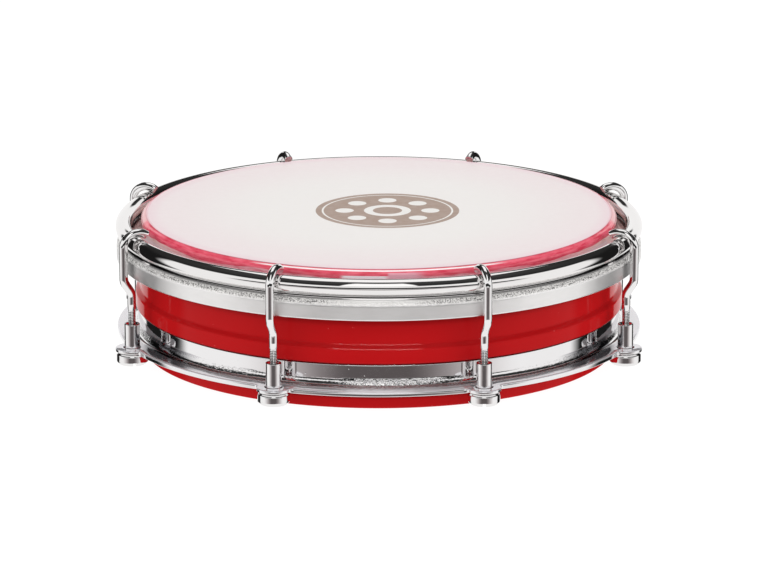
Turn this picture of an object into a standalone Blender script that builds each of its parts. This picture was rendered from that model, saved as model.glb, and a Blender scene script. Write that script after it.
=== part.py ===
"""Small one-headed frame drum with a tuned plastic head.

A turned plastic shell carries a pressed steel tension ring under its shoulder.
Eight J-hooks hang over a rolled counter hoop and run down into eight slotted
tuning nuts, whose heads pull the ears of the tension ring upwards.  The counter
hoop presses the flesh hoop of the drumhead down, which stretches the film over
the shell's bearing edge.

Frame: +Z up, origin at the centre of the shell's lower rim, front towards -Y.
Lengths below are in millimetres and are turned into metres when built.
"""

import math

import bmesh
import bpy

MM = 0.001

# ---------------------------------------------------------------- dimensions
RING_SEGMENTS = 48  # facets of the large turned rings

# shell
SHELL_INNER_R = 72.0
SHELL_SPIGOT_R = 74.6  # lower part, inside the tension ring
SHELL_BELLY_R = 76.8  # proud band that shoulders on the tension ring
SHELL_UPPER_R = 75.5  # upper part
SHELL_NECK_R = 74.25  # next to the bearing edge, inside the drumhead's collar
SHELL_TAPER_LOW_Z = 36.0
SHELL_TAPER_HIGH_Z = 38.2
SHELL_SHOULDER_Z = 14.4
SHELL_STEP_LOW_Z = 19.05
SHELL_STEP_HIGH_Z = 20.25
SHELL_EDGE_R = 72.75  # bearing edge
SHELL_TOP_Z = 42.65

# drumhead
FILM_T = 0.3
FILM_TOP_Z = 43.25
FILM_FLAT_R = 72.9
FILM_COLLAR_R = 74.9
FILM_EDGE_ROUND = 2.0
FILM_TUCK_R = 79.1  # where the film ends, inside the flesh hoop's channel
FILM_TUCK_Z = 31.7

# flesh hoop, a U-channel that is open at the top
FLESH_INNER_R = 77.5
FLESH_OUTER_R = 80.7
FLESH_WALL = 0.7
FLESH_BOTTOM_Z = 30.5
FLESH_INNER_TOP_Z = 34.8
FLESH_OUTER_TOP_Z = 35.3

# counter hoop
BEAD_R = 80.25  # radius of the rolled bead's centre line
BEAD_Z = 39.3
BEAD_SECTION_R = 2.65
SKIRT_OUTER_R = 82.6
SKIRT_INNER_R = 81.35
SKIRT_BOTTOM_Z = 29.4
SKIRT_TOP_Z = 33.8

# tension ring
BAND_INNER_R = 74.9
BAND_OUTER_R = 76.1
BAND_TOP_Z = 14.1
FLANGE_LOW_Z = 6.3
FLANGE_HIGH_Z = 7.5
FLANGE_R = 82.6
FLANGE_LIP = 0.4  # the flange's edge is turned down by this between the ears
FILLET_R = 1.9
EAR_R = 5.25
EAR_FILLET_R = 1.4
EAR_HOLE_R = 2.72

# lugs
LUG_COUNT = 8
LUG_FIRST_DEG = 22.5  # from -Y, so that the front lies between two hooks
LUG_R = 82.8  # radius of the circle on which the nuts turn

# hooks, in the plane of one lug: x is outwards from the lug's axis
HOOK_ROD_R = 1.35
HOOK_SHANK_R = 1.33
HOOK_THREAD_R = 1.15
HOOK_LEG_X = 2.5
HOOK_CURL_X = -2.3
HOOK_CURL_Z = 39.3
HOOK_CURL_HALF_WIDTH = 4.8
HOOK_CURL_HALF_HEIGHT = 4.35
HOOK_TIP_DEG = 126.0
HOOK_JOG_TOP_Z = 29.6
HOOK_JOG_LOW_Z = 23.6
HOOK_THREAD_TOP_Z = 19.4
HOOK_END_Z = 5.4

# tuning nuts
NUT_HEAD_R = 5.05
NUT_HEAD_LOW_Z = 2.3
NUT_HEAD_TOP_Z = 5.95
NUT_SLEEVE_R = 2.42
NUT_TOP_Z = 15.1
NUT_BORE_R = 1.45
NUT_BORE_END_Z = 4.7
NUT_SLOT_WIDTH = 1.05
NUT_SLOT_DEPTH = 1.2
NUT_SEGMENTS = 12

for old in list(bpy.data.objects):
    bpy.data.objects.remove(old, do_unlink=True)


# ------------------------------------------------------------------- helpers
def material(name, colour, roughness, metallic, coat=0.0):
    mat = bpy.data.materials.new(name)
    mat.use_nodes = True
    shader = mat.node_tree.nodes["Principled BSDF"]
    shader.inputs["Base Color"].default_value = (*colour, 1.0)
    shader.inputs["Roughness"].default_value = roughness
    shader.inputs["Metallic"].default_value = metallic
    shader.inputs["Coat Weight"].default_value = coat
    mat.diffuse_color = (*colour, 1.0)
    return mat


def link(name, data, parent=None):
    ob = bpy.data.objects.new(name, data)
    bpy.context.scene.collection.objects.link(ob)
    if parent is not None:
        ob.parent = parent
    return ob


def finish(bm, name, mat, sharp_deg=32.0):
    """Turn a bmesh into a smooth-shaded mesh whose faces point outwards."""
    bmesh.ops.remove_doubles(bm, verts=list(bm.verts), dist=2e-6)
    bmesh.ops.recalc_face_normals(bm, faces=list(bm.faces))
    mesh = bpy.data.meshes.new(name)
    bm.to_mesh(mesh)
    bm.free()
    mesh.materials.append(mat)
    mesh.shade_smooth()
    mesh.set_sharp_from_angle(angle=math.radians(sharp_deg))
    return mesh


def turned(name, profile, mat, segments, closed=True):
    """Spin a profile of (radius, height) pairs once about the Z axis."""
    bm = bmesh.new()
    verts = [bm.verts.new((r * MM, 0.0, z * MM)) for r, z in profile]
    edges = [bm.edges.new(pair) for pair in zip(verts, verts[1:])]
    if closed:
        edges.append(bm.edges.new((verts[-1], verts[0])))
    bmesh.ops.spin(
        bm,
        geom=verts + edges,
        cent=(0.0, 0.0, 0.0),
        axis=(0.0, 0.0, 1.0),
        dvec=(0.0, 0.0, 0.0),
        angle=2.0 * math.pi,
        steps=segments,
        use_merge=True,
    )
    return finish(bm, name, mat)


def arc(cx, cz, rx, rz, start_deg, end_deg, steps):
    """Points of an elliptic arc, both ends included."""
    out = []
    for i in range(steps + 1):
        a = math.radians(start_deg + (end_deg - start_deg) * i / steps)
        out.append((cx + rx * math.cos(a), cz + rz * math.sin(a)))
    return out


def lug_angle(i):
    """Direction of lug i in the XY plane, counted from +X, in radians."""
    return math.radians(LUG_FIRST_DEG + i * 360.0 / LUG_COUNT - 90.0)


# ----------------------------------------------------------------- materials
red_abs = material("shell_red_abs", (0.48, 0.008, 0.012), 0.12, 0.0, 0.4)
ring_chrome = material("tension_ring_chrome", (0.83, 0.83, 0.85), 0.10, 1.0)
hoop_chrome = material("counter_hoop_chrome", (0.83, 0.83, 0.84), 0.16, 1.0)
flesh_alu = material("flesh_hoop_aluminium", (0.72, 0.72, 0.73), 0.35, 1.0)
film_plastic = material("drumhead_film_plastic", (0.86, 0.83, 0.79), 0.28, 0.0)
hook_chrome = material("tension_hook_chrome", (0.85, 0.85, 0.86), 0.08, 1.0)
nut_chrome = material("tuning_nut_chrome", (0.84, 0.84, 0.85), 0.10, 1.0)

# empties on the axes of motion
shell_axis = link("shell_frame", None)
head_axis = link("head_slide_axis", None, shell_axis)

# --------------------------------------------------------------------- shell
shell_profile = (
    [(SHELL_INNER_R + 0.5, 0.0), (SHELL_SPIGOT_R - 0.7, 0.0)]
    + arc(SHELL_SPIGOT_R - 0.6, 0.6, 0.6, 0.6, -60.0, 0.0, 2)
    + [
        (SHELL_SPIGOT_R, SHELL_SHOULDER_Z),
        (SHELL_BELLY_R - 0.25, SHELL_SHOULDER_Z),
        (SHELL_BELLY_R, SHELL_SHOULDER_Z + 0.3),
        (SHELL_BELLY_R, SHELL_STEP_LOW_Z),
        (SHELL_BELLY_R - 0.35, SHELL_STEP_LOW_Z + 0.55),
        (SHELL_UPPER_R + 0.25, SHELL_STEP_HIGH_Z - 0.25),
        (SHELL_UPPER_R, SHELL_STEP_HIGH_Z + 0.2),
        (SHELL_UPPER_R, SHELL_TAPER_LOW_Z),
        (SHELL_NECK_R, SHELL_TAPER_HIGH_Z),
    ]
    + arc(SHELL_EDGE_R, SHELL_TOP_Z - 1.5, 1.5, 1.5, 0.0, 90.0, 4)
    + [
        (SHELL_EDGE_R - 0.4, SHELL_TOP_Z - 0.1),
        (SHELL_INNER_R, SHELL_TOP_Z - 1.8),
        (SHELL_INNER_R, 0.5),
    ]
)
link(
    "shell",
    turned("shell", shell_profile, red_abs, RING_SEGMENTS),
    shell_axis,
)


# -------------------------------------------------------------- tension ring
def ear_outline():
    """Outer edge of the flange: a circle with one rounded ear at each lug.

    Each ear is an arc about its lug, joined to the flange's edge by two
    concave fillets whose centres keep the same distance from both arcs.
    """
    reach = FLANGE_R + EAR_FILLET_R
    gap = EAR_R + EAR_FILLET_R
    fx = (reach**2 - gap**2 + LUG_R**2) / (2.0 * LUG_R)
    fy = math.sqrt(reach**2 - fx**2)
    root = math.atan2(fy, fx)  # flange ends here, seen from the centre
    turn = math.atan2(fy, fx - LUG_R)  # ear starts here, seen from the lug
    half = math.pi / LUG_COUNT
    points = []
    for i in range(LUG_COUNT):
        local = []
        for k in range(4):  # flange, from mid-gap to the first fillet
            a = -half + (half - root) * k / 4
            local.append((FLANGE_R * math.cos(a), FLANGE_R * math.sin(a)))
        for side in (-1.0, 1.0):
            fillet = []
            start = math.atan2(-fy, -fx)
            end = math.atan2(-fy, LUG_R - fx)
            for k in range(4):
                a = start + (end - start) * k / 3
                x = fx + EAR_FILLET_R * math.cos(a)
                y = fy + EAR_FILLET_R * math.sin(a)
                fillet.append((x, side * y))
            if side < 0.0:
                local += fillet
                for k in range(1, 11):
                    a = -turn + 2.0 * turn * k / 11
                    local.append(
                        (LUG_R + EAR_R * math.cos(a), EAR_R * math.sin(a))
                    )
            else:
                local += fillet[::-1]
        for k in range(1, 4):
            a = root + (half - root) * k / 4
            local.append((FLANGE_R * math.cos(a), FLANGE_R * math.sin(a)))
        t = lug_angle(i)
        c, s = math.cos(t), math.sin(t)
        points += [(x * c - y * s, x * s + y * c) for x, y in local]
    return points


def circle(cx, cy, r, steps, start=0.0):
    return [
        (
            cx + r * math.cos(start + 2.0 * math.pi * k / steps),
            cy + r * math.sin(start + 2.0 * math.pi * k / steps),
        )
        for k in range(steps)
    ]


def loop(bm, points, z):
    """Closed loop of edges at one height, or at one height for each point."""
    heights = z if isinstance(z, list) else [z] * len(points)
    verts = [
        bm.verts.new((x * MM, y * MM, h * MM))
        for (x, y), h in zip(points, heights)
    ]
    edges = [
        bm.edges.new((verts[k], verts[(k + 1) % len(verts)]))
        for k in range(len(verts))
    ]
    return verts, edges


def wall(bm, lower, upper):
    n = len(lower)
    for k in range(n):
        bm.faces.new(
            (lower[k], lower[(k + 1) % n], upper[(k + 1) % n], upper[k])
        )


bm = bmesh.new()
outline = ear_outline()
fillet_section = [
    (BAND_OUTER_R + FILLET_R - FILLET_R * math.sin(a),
     FLANGE_HIGH_Z + FILLET_R - FILLET_R * math.cos(a))
    for a in (0.0, math.radians(30.0), math.radians(60.0), math.radians(90.0))
]
band_section = fillet_section + [
    (BAND_OUTER_R, BAND_TOP_Z - 0.25),
    (BAND_OUTER_R - 0.25, BAND_TOP_Z),
    (BAND_INNER_R + 0.15, BAND_TOP_Z),
    (BAND_INNER_R, BAND_TOP_Z - 0.2),
    (BAND_INNER_R, FLANGE_LOW_Z + 0.35),
    (BAND_INNER_R + 0.35, FLANGE_LOW_Z),
]
rings = [
    loop(bm, circle(0.0, 0.0, r, RING_SEGMENTS), z) for r, z in band_section
]
for (low, _), (high, _) in zip(rings, rings[1:]):
    wall(bm, low, high)
top_outer, top_edges = loop(bm, outline, FLANGE_HIGH_Z)
lip = [
    FLANGE_LOW_Z - (FLANGE_LIP if math.hypot(x, y) < FLANGE_R + 0.4 else 0.0)
    for x, y in outline
]
low_outer, low_edges = loop(bm, outline, lip)
wall(bm, low_outer, top_outer)
top_edges = top_edges + rings[0][1]
low_edges = low_edges + rings[-1][1]
for i in range(LUG_COUNT):
    t = lug_angle(i)
    hole = circle(
        LUG_R * math.cos(t), LUG_R * math.sin(t), EAR_HOLE_R, NUT_SEGMENTS, t
    )
    top_hole, hole_edges = loop(bm, hole, FLANGE_HIGH_Z)
    low_hole, low_hole_edges = loop(bm, hole, FLANGE_LOW_Z)
    wall(bm, top_hole, low_hole)
    top_edges += hole_edges
    low_edges += low_hole_edges
bmesh.ops.triangle_fill(
    bm, edges=top_edges, use_beauty=True, normal=(0.0, 0.0, 1.0)
)
bmesh.ops.triangle_fill(
    bm, edges=low_edges, use_beauty=True, normal=(0.0, 0.0, -1.0)
)
link("tension_ring", finish(bm, "tension_ring", ring_chrome), shell_axis)

# -------------------------------------------------------------- counter hoop
hoop_profile = (
    [
        (SKIRT_INNER_R, SKIRT_BOTTOM_Z + 0.1),
        (SKIRT_INNER_R + 0.2, SKIRT_BOTTOM_Z),
        (SKIRT_OUTER_R - 0.2, SKIRT_BOTTOM_Z),
        (SKIRT_OUTER_R, SKIRT_BOTTOM_Z + 0.2),
        (SKIRT_OUTER_R, SKIRT_TOP_Z),
        (SKIRT_OUTER_R - 0.3, SKIRT_TOP_Z + 0.9),
        (SKIRT_OUTER_R - 0.9, SKIRT_TOP_Z + 1.8),
        (SKIRT_OUTER_R - 1.65, BEAD_Z - 2.75),
    ]
    + arc(BEAD_R, BEAD_Z, BEAD_SECTION_R, BEAD_SECTION_R, -75.0, 255.0, 12)
    + [
        (BEAD_R - 0.35, FLESH_OUTER_TOP_Z + 0.45),
        (BEAD_R - 0.05, FLESH_OUTER_TOP_Z + 0.4),
        (SKIRT_INNER_R, SKIRT_TOP_Z - 0.4),
    ]
)
link(
    "counter_hoop",
    turned("counter_hoop", hoop_profile, hoop_chrome, RING_SEGMENTS),
    head_axis,
)

# ---------------------------------------------------------------- flesh hoop
flesh_profile = [
    (FLESH_INNER_R + 0.3, FLESH_BOTTOM_Z),
    (FLESH_OUTER_R - 0.3, FLESH_BOTTOM_Z),
    (FLESH_OUTER_R, FLESH_BOTTOM_Z + 0.3),
    (FLESH_OUTER_R, FLESH_OUTER_TOP_Z - 1.4),
    (FLESH_OUTER_R - 0.55, FLESH_OUTER_TOP_Z),
    (FLESH_OUTER_R - 0.8, FLESH_OUTER_TOP_Z),
    (FLESH_OUTER_R - FLESH_WALL - 0.05, FLESH_OUTER_TOP_Z - 1.2),
    (FLESH_OUTER_R - FLESH_WALL, FLESH_BOTTOM_Z + FLESH_WALL),
    (FLESH_INNER_R + FLESH_WALL, FLESH_BOTTOM_Z + FLESH_WALL),
    (FLESH_INNER_R + FLESH_WALL, FLESH_INNER_TOP_Z),
    (FLESH_INNER_R, FLESH_INNER_TOP_Z),
    (FLESH_INNER_R, FLESH_BOTTOM_Z + 0.3),
]
link(
    "flesh_hoop",
    turned("flesh_hoop", flesh_profile, flesh_alu, RING_SEGMENTS),
    head_axis,
)

# ------------------------------------------------------------- drumhead film
outer_skin = (
    [(0.0, FILM_TOP_Z), (FILM_FLAT_R, FILM_TOP_Z)]
    + arc(
        FILM_COLLAR_R - FILM_EDGE_ROUND,
        FILM_TOP_Z - FILM_EDGE_ROUND,
        FILM_EDGE_ROUND,
        FILM_EDGE_ROUND,
        67.5,
        0.0,
        3,
    )
    + [
        (FILM_COLLAR_R + 0.1, 39.8),
        (FILM_COLLAR_R + 0.6, 38.6),
        (FILM_COLLAR_R + 1.6, 37.3),
        (FILM_COLLAR_R + 2.9, 36.3),
        (FILM_COLLAR_R + 3.85, 35.4),
        (FILM_TUCK_R, 34.1),
        (FILM_TUCK_R + 0.05, FILM_TUCK_Z),
    ]
)


def offset(points, distance):
    """The same path moved to its right-hand side by a constant distance."""
    out = []
    last = len(points) - 1
    for k, (r, z) in enumerate(points):
        (r0, z0), (r1, z1) = points[max(k - 1, 0)], points[min(k + 1, last)]
        length = math.hypot(r1 - r0, z1 - z0)
        nr, nz = (z1 - z0) / length, -(r1 - r0) / length
        out.append((max(r + distance * nr, 0.0), z + distance * nz))
    return out


inner_skin = offset(outer_skin, FILM_T)
inner_skin[0] = (0.0, FILM_TOP_Z - FILM_T)
film_profile = outer_skin + inner_skin[::-1]
link(
    "drumhead_film",
    turned(
        "drumhead_film", film_profile, film_plastic, RING_SEGMENTS, closed=False
    ),
    head_axis,
)


# ------------------------------------------------------------- tension hooks
def hook_path():
    """(x, z, rod radius) along the hook, from its threaded end to its tip."""
    path = [
        (0.0, HOOK_END_Z, HOOK_THREAD_R * 0.8),
        (0.0, HOOK_END_Z + 0.4, HOOK_THREAD_R),
        (0.0, HOOK_THREAD_TOP_Z - 0.2, HOOK_THREAD_R),
        (0.0, HOOK_THREAD_TOP_Z + 0.2, HOOK_SHANK_R),
    ]
    for k in range(7):  # smooth sideways jog
        t = k / 6.0
        blend = t * t * (3.0 - 2.0 * t)
        path.append(
            (
                HOOK_LEG_X * blend,
                HOOK_JOG_LOW_Z + (HOOK_JOG_TOP_Z - HOOK_JOG_LOW_Z) * t,
                HOOK_SHANK_R + (HOOK_ROD_R - HOOK_SHANK_R) * t,
            )
        )
    path += [
        (x, z, HOOK_ROD_R)
        for x, z in arc(
            HOOK_CURL_X,
            HOOK_CURL_Z,
            HOOK_CURL_HALF_WIDTH,
            HOOK_CURL_HALF_HEIGHT,
            0.0,
            HOOK_TIP_DEG,
            8,
        )
    ]
    return path


hook_curve = bpy.data.curves.new("tension_hook", "CURVE")
hook_curve.dimensions = "3D"
hook_curve.bevel_depth = 1.0 * MM
hook_curve.bevel_resolution = 2
hook_curve.use_fill_caps = True
spline = hook_curve.splines.new("POLY")
path = hook_path()
spline.points.add(len(path) - 1)
for point, (x, z, r) in zip(spline.points, path):
    point.co = (x * MM, 0.0, z * MM, 1.0)
    point.radius = r
hook_curve.materials.append(hook_chrome)

# --------------------------------------------------------------- tuning nuts
nut_profile = [
    (0.0, NUT_HEAD_LOW_Z),
    (NUT_HEAD_R - 1.0, NUT_HEAD_LOW_Z),
    (NUT_HEAD_R - 0.3, NUT_HEAD_LOW_Z + 0.25),
    (NUT_HEAD_R, NUT_HEAD_LOW_Z + 0.9),
    (NUT_HEAD_R - 0.35, NUT_HEAD_TOP_Z - 0.4),
    (NUT_HEAD_R - 0.75, NUT_HEAD_TOP_Z),
    (NUT_SLEEVE_R, NUT_HEAD_TOP_Z),
    (NUT_SLEEVE_R, NUT_TOP_Z - 0.2),
    (NUT_SLEEVE_R - 0.2, NUT_TOP_Z),
    (NUT_BORE_R + 0.4, NUT_TOP_Z),
    (NUT_BORE_R, NUT_TOP_Z - 0.4),
    (NUT_BORE_R, NUT_BORE_END_Z),
    (0.0, NUT_BORE_END_Z),
]
nut_mesh = turned(
    "tuning_nut", nut_profile, nut_chrome, NUT_SEGMENTS, closed=False
)

slot_mesh = bpy.data.meshes.new("slot_cutter")
bm = bmesh.new()
bmesh.ops.create_cube(bm, size=1.0)
for v in bm.verts:
    v.co.x *= 3.0 * NUT_HEAD_R * MM
    v.co.y *= NUT_SLOT_WIDTH * MM
    v.co.z = (
        NUT_HEAD_LOW_Z + (NUT_SLOT_DEPTH if v.co.z > 0.0 else -2.0)
    ) * MM
bmesh.ops.recalc_face_normals(bm, faces=list(bm.faces))
bm.to_mesh(slot_mesh)
bm.free()

# hooks, nuts and slot cutters round the drum
for i in range(LUG_COUNT):
    t = lug_angle(i)
    place = (LUG_R * MM * math.cos(t), LUG_R * MM * math.sin(t), 0.0)
    hook = link(f"tension_hook_{i + 1}", hook_curve, head_axis)
    hook.location = place
    hook.rotation_euler = (0.0, 0.0, t)

    nut = link(f"tuning_nut_{i + 1}", nut_mesh, shell_axis)
    nut.location = place
    nut.rotation_euler = (0.0, 0.0, t)
    cutter = link(f"slot_cutter_{i + 1}", slot_mesh, nut)
    cutter.display_type = "WIRE"
    cutter.hide_render = True
    cutter.rotation_euler = (0.0, 0.0, math.radians(-22.5 + 47.0 * i))
    cut = nut.modifiers.new("screwdriver_slot", "BOOLEAN")
    cut.operation = "DIFFERENCE"
    cut.solver = "EXACT"
    cut.object = cutter

bpy.context.view_layer.update()
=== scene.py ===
"""Looks of a small one-headed frame drum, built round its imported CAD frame."""

import math

import bmesh
import bpy
import numpy as np
from mathutils import Matrix, Vector, noise


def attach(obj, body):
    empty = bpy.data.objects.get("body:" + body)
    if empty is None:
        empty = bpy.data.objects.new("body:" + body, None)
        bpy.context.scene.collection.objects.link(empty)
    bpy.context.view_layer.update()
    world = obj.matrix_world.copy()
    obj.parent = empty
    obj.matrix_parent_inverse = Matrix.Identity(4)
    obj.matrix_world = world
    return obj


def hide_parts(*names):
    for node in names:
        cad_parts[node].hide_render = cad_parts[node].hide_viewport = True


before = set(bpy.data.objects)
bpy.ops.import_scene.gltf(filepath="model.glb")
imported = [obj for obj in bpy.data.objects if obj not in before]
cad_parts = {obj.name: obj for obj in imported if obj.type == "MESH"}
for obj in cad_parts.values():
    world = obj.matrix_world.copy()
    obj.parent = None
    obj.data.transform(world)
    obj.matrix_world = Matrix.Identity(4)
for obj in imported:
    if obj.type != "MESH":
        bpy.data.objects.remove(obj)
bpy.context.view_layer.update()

MM = 0.001
TAU = 2.0 * math.pi
SEGMENTS = 320  # facets of the large rings
LUGS = 8
LUG_R = 82.8
LIFT = Matrix.Translation((0.0, 0.0, 0.5 * 0.001))  # heights below count from 0.5 mm over the rim
LUG_FIRST = math.radians(22.5 - 90.0)


def lug_angle(i):
    return LUG_FIRST + i * TAU / LUGS


# ------------------------------------------------------------------ mesh code
def rounded(points, steps=6):
    """A closed or open path whose corners (r, z, radius) become arcs."""
    out = []
    n = len(points)
    for k, (r, z, rad) in enumerate(points):
        p = Vector((r, z))
        a = Vector(points[(k - 1) % n][:2]) - p
        b = Vector(points[(k + 1) % n][:2]) - p
        if rad <= 0.0 or a.length < 1e-6 or b.length < 1e-6:
            out.append((r, z))
            continue
        la, lb = a.length, b.length
        a.normalize()
        b.normalize()
        angle = a.angle(b)
        if abs(math.pi - angle) < 0.02:
            out.append((r, z))
            continue
        cut = min(rad / math.tan(angle / 2.0), 0.49 * la, 0.49 * lb)
        rad = cut * math.tan(angle / 2.0)
        centre = p + (a + b).normalized() * (rad / math.sin(angle / 2.0))
        start, end = p + a * cut - centre, p + b * cut - centre
        a0 = math.atan2(start.y, start.x)
        a1 = math.atan2(end.y, end.x)
        d = (a1 - a0 + math.pi) % TAU - math.pi
        for s in range(steps + 1):
            t = a0 + d * s / steps
            out.append((centre.x + rad * math.cos(t), centre.y + rad * math.sin(t)))
    return out


def even(profile, gap=0.12, closed=True):
    """Add a row close to each end of every long straight part, so that its shading stays flat."""
    out = []
    n = len(profile)
    for k in range(n):
        a = profile[k]
        out.append(a)
        if k == n - 1 and not closed:
            break
        b = profile[(k + 1) % n]
        length = math.hypot(b[0] - a[0], b[1] - a[1])
        if length > 6.0 * gap:
            for f in (gap / length, 1.0 - gap / length):
                out.append((a[0] + (b[0] - a[0]) * f, a[1] + (b[1] - a[1]) * f))
    return out


def arc(cx, cz, r, start, end, steps, rz=None):
    rz = r if rz is None else rz
    return [
        (
            cx + r * math.cos(math.radians(start + (end - start) * k / steps)),
            cz + rz * math.sin(math.radians(start + (end - start) * k / steps)),
        )
        for k in range(steps + 1)
    ]


def grid_mesh(name, rows, wrap_rows, caps=(False, False)):
    """Mesh of rows of points, each row a closed ring; points in millimetres."""
    rows = np.asarray(rows, float)
    n, m = rows.shape[:2]
    verts = rows.reshape(-1, 3) * MM
    faces = []
    last = n if wrap_rows else n - 1
    for i in range(last):
        a, b = i * m, ((i + 1) % n) * m
        for j in range(m):
            k = (j + 1) % m
            faces.append((a + j, a + k, b + k, b + j))
    verts = verts.tolist()
    for at, wanted in ((0, caps[0]), (n - 1, caps[1])):
        if wanted:
            c = len(verts)
            ring = rows[at] * MM
            verts.append(ring.mean(0).tolist())
            for j in range(m):
                k = (j + 1) % m
                tri = (at * m + j, at * m + k, c)
                faces.append(tri if at else tri[::-1])
    mesh = bpy.data.meshes.new(name)
    mesh.from_pydata(verts, [], faces)
    bm = bmesh.new()
    bm.from_mesh(mesh)
    bmesh.ops.remove_doubles(bm, verts=list(bm.verts), dist=1e-7)
    bmesh.ops.recalc_face_normals(bm, faces=list(bm.faces))
    bm.to_mesh(mesh)
    bm.free()
    return mesh


def smooth(mesh, sharp=40.0):
    mesh.shade_smooth()
    mesh.set_sharp_from_angle(angle=math.radians(sharp))
    return mesh


def lathe(name, profile, segments=SEGMENTS, closed=True, shape=None, sharp=40.0):
    """Turn a profile about Z. shape(theta, r, z) may move each point."""
    th = np.arange(segments) * TAU / segments
    rows = []
    for r, z in profile:
        rr, zz = np.full(segments, r), np.full(segments, z)
        if shape is not None:
            rr, zz = shape(th, rr, zz)
        rows.append(np.stack([rr * np.cos(th), rr * np.sin(th), zz], axis=1))
    return smooth(grid_mesh(name, rows, closed), sharp)


def piece(name, mesh, mat, body, node, place=None):
    ob = bpy.data.objects.new(name, mesh)
    bpy.context.scene.collection.objects.link(ob)
    ob.matrix_world = LIFT if place is None else LIFT @ place
    bpy.context.view_layer.update()
    if not mesh.materials:
        mesh.materials.append(mat)
    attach(ob, body)
    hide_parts(node)
    return ob


# ------------------------------------------------------------------ materials
class Tree:
    """Short ways to add nodes to one material or world."""

    def __init__(self, tree):
        self.tree = tree
        self.nodes, self.links = tree.nodes, tree.links

    def node(self, kind, **settings):
        n = self.nodes.new(kind)
        for k, v in settings.items():
            setattr(n, k, v)
        return n

    def put(self, socket, value):
        if isinstance(value, bpy.types.NodeSocket):
            self.links.new(value, socket)
        elif value is not None:
            socket.default_value = value

    def math(self, op, a, b=None, c=None, clamp=False):
        n = self.node("ShaderNodeMath", operation=op, use_clamp=clamp)
        for s, v in zip(n.inputs, (a, b, c)):
            self.put(s, v)
        return n.outputs[0]

    def vector(self, op, a, b=None):
        n = self.node("ShaderNodeVectorMath", operation=op)
        self.put(n.inputs[0], a)
        if b is not None:
            self.put(n.inputs[1], b)
        return n.outputs["Value" if op in ("LENGTH", "DOT_PRODUCT") else "Vector"]

    def ramp(self, value, low, high, to_low=0.0, to_high=1.0, soft=True):
        n = self.node("ShaderNodeMapRange")
        n.interpolation_type = "SMOOTHSTEP" if soft else "LINEAR"
        n.clamp = True
        for s, v in zip(n.inputs, (value, low, high, to_low, to_high)):
            self.put(s, v)
        return n.outputs[0]

    def band(self, value, low, high, soft):
        """1 between low and high, fading over soft on each side."""
        return self.math(
            "MULTIPLY",
            self.ramp(value, low - soft, low + soft),
            self.ramp(value, high - soft, high + soft, 1.0, 0.0),
        )

    def mix(self, fac, a, b, blend="MIX"):
        n = self.node("ShaderNodeMix", data_type="RGBA", blend_type=blend)
        self.put(n.inputs[0], fac)
        self.put(n.inputs[6], a)
        self.put(n.inputs[7], b)
        return n.outputs[2]

    def blend(self, fac, a, b):
        n = self.node("ShaderNodeMix", data_type="FLOAT")
        self.put(n.inputs[0], fac)
        self.put(n.inputs[2], a)
        self.put(n.inputs[3], b)
        return n.outputs[0]

    def noise(self, vector, scale, detail=3.0, rough=0.5, distort=0.0):
        n = self.node("ShaderNodeTexNoise")
        self.put(n.inputs["Vector"], vector)
        n.inputs["Scale"].default_value = scale
        n.inputs["Detail"].default_value = detail
        n.inputs["Roughness"].default_value = rough
        n.inputs["Distortion"].default_value = distort
        return n.outputs["Fac"]

    def split(self, vector):
        n = self.node("ShaderNodeSeparateXYZ")
        self.put(n.inputs[0], vector)
        return n.outputs

    def join(self, x, y, z):
        n = self.node("ShaderNodeCombineXYZ")
        for s, v in zip(n.inputs, (x, y, z)):
            self.put(s, v)
        return n.outputs[0]

    def bump(self, height, strength, distance, normal=None):
        n = self.node("ShaderNodeBump")
        self.put(n.inputs["Height"], height)
        self.put(n.inputs["Strength"], strength)
        n.inputs["Distance"].default_value = distance
        if normal is not None:
            self.put(n.inputs["Normal"], normal)
        return n.outputs["Normal"]


def rgb(r, g, b):
    return (r, g, b, 1.0)


def new_material(name):
    mat = bpy.data.materials.new(name)
    mat.use_nodes = True
    t = Tree(mat.node_tree)
    shader = t.nodes["Principled BSDF"]
    coords = t.node("ShaderNodeTexCoord").outputs["Object"]
    return mat, t, shader, coords


def red_plastic():
    mat, t, p, co = new_material("red_gloss_abs")
    x, y, z = t.split(co)[:3]
    cloud = t.noise(co, 38.0, 3.0)
    colour = t.mix(cloud, rgb(0.445, 0.0078, 0.0090), rgb(0.485, 0.0092, 0.0115))
    fleck = t.ramp(t.noise(co, 900.0, 1.0), 0.79, 0.82)
    colour = t.mix(fleck, colour, rgb(0.62, 0.09, 0.09))
    # painted shade where the hoop's skirt, the ring and the flange stand over the wall
    under_skirt = t.ramp(z, 0.0249, 0.0272)
    under_flange = t.math("MULTIPLY", t.ramp(z, 0.0021, 0.0035), t.ramp(z, 0.0060, 0.0070, 1.0, 0.0))
    over_ring = t.band(z, 0.0135, 0.0141, 0.0003)
    painted_shade = t.math("MAXIMUM", t.math("MAXIMUM", t.math("MULTIPLY", under_skirt, 0.55), t.math("MULTIPLY", under_flange, 0.75)), t.math("MULTIPLY", over_ring, 0.8))
    colour = t.mix(painted_shade, colour, rgb(0.17, 0.0030, 0.0040))
    t.put(p.inputs["Base Color"], colour)
    wear = t.noise(co, 160.0, 4.0)
    t.put(p.inputs["Roughness"], t.ramp(wear, 0.3, 0.75, 0.03, 0.07))
    p.inputs["IOR"].default_value = 1.5
    p.inputs["Specular IOR Level"].default_value = 0.045
    radius = t.vector("LENGTH", t.join(x, y, 0.0))
    turning = t.noise(t.join(t.math("MULTIPLY", radius, 6.0), 0.0, t.math("MULTIPLY", z, 1.0)), 260.0, 2.0)
    height = t.math("ADD", t.math("MULTIPLY", t.noise(co, 55.0, 2.0), 0.6), t.math("MULTIPLY", turning, 0.15))
    t.put(p.inputs["Normal"], t.bump(height, 0.07, 0.0006))
    return mat


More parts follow.
